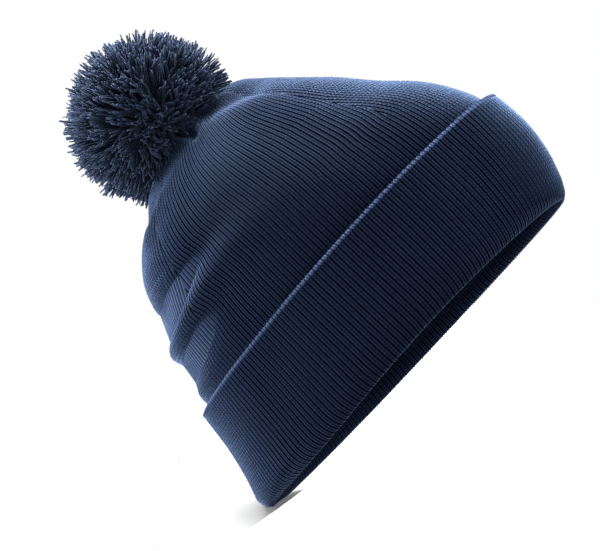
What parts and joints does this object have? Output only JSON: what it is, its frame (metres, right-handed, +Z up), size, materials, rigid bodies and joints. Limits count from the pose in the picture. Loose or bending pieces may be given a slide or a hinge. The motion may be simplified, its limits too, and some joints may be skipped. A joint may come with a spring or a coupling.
{
  "type": "knit beanie",
  "caption": "Fine-rib double-layer knit beanie with a deep turned-up cuff, a slouched crown and a cut-yarn pom-pom that tips on its tie.",
  "frame": {"origin": "on the surface that the brim rests on, under the middle of the hat's length and width", "axes": "+Z up through the crown, -Y towards the forehead, +Y towards the nape, +X towards the wearer's left ear"},
  "size_m": [0.177, 0.2244, 0.2155],
  "materials": {
    "rib_knit": "navy blue fine rib knit in soft-touch acrylic yarn, matt with a faint bloom of loose fibre",
    "lining_knit": "the same navy rib knit seen from the inside, matt",
    "pom_yarn": "navy acrylic yarn, cut ends, very matt with bright fibre tips",
    "seam_thread": "dark navy sewing thread and tie yarn, slight lustre"
  },
  "bodies": {
    "hat": {"crown_outer_ply": "rib_knit", "crown_lining_ply": "lining_knit", "cuff_face_ply": "rib_knit", "cuff_back_ply": "rib_knit", "cuff_hem": "rib_knit", "brim_outer_fold": "rib_knit", "brim_inner_fold": "rib_knit", "dart_seam_front_left": "seam_thread", "dart_seam_rear_left": "seam_thread", "dart_seam_rear_right": "seam_thread", "dart_seam_front_right": "seam_thread", "crown_draw_thread": "seam_thread", "pom_anchor_knot": "seam_thread"},
    "tie": {"pom_tie": "seam_thread"},
    "pom": {"pom_yarn": "pom_yarn", "pom_binding": "seam_thread"}
  },
  "joints": [
    {"name": "pom_nod", "type": "hinge", "parent": "hat", "child": "tie", "pos_m": [0, 0.0111, 0.1575], "axis": [1, 0, 0], "range_deg": [-15, 10], "stiffness_Nm_per_rad": 0.05},
    {"name": "pom_sway", "type": "hinge", "parent": "tie", "child": "pom", "pos_m": [0, 0.0111, 0.1575], "axis": [0, 1, 0], "range_deg": [-15, 15], "stiffness_Nm_per_rad": 0.05}
  ]
}
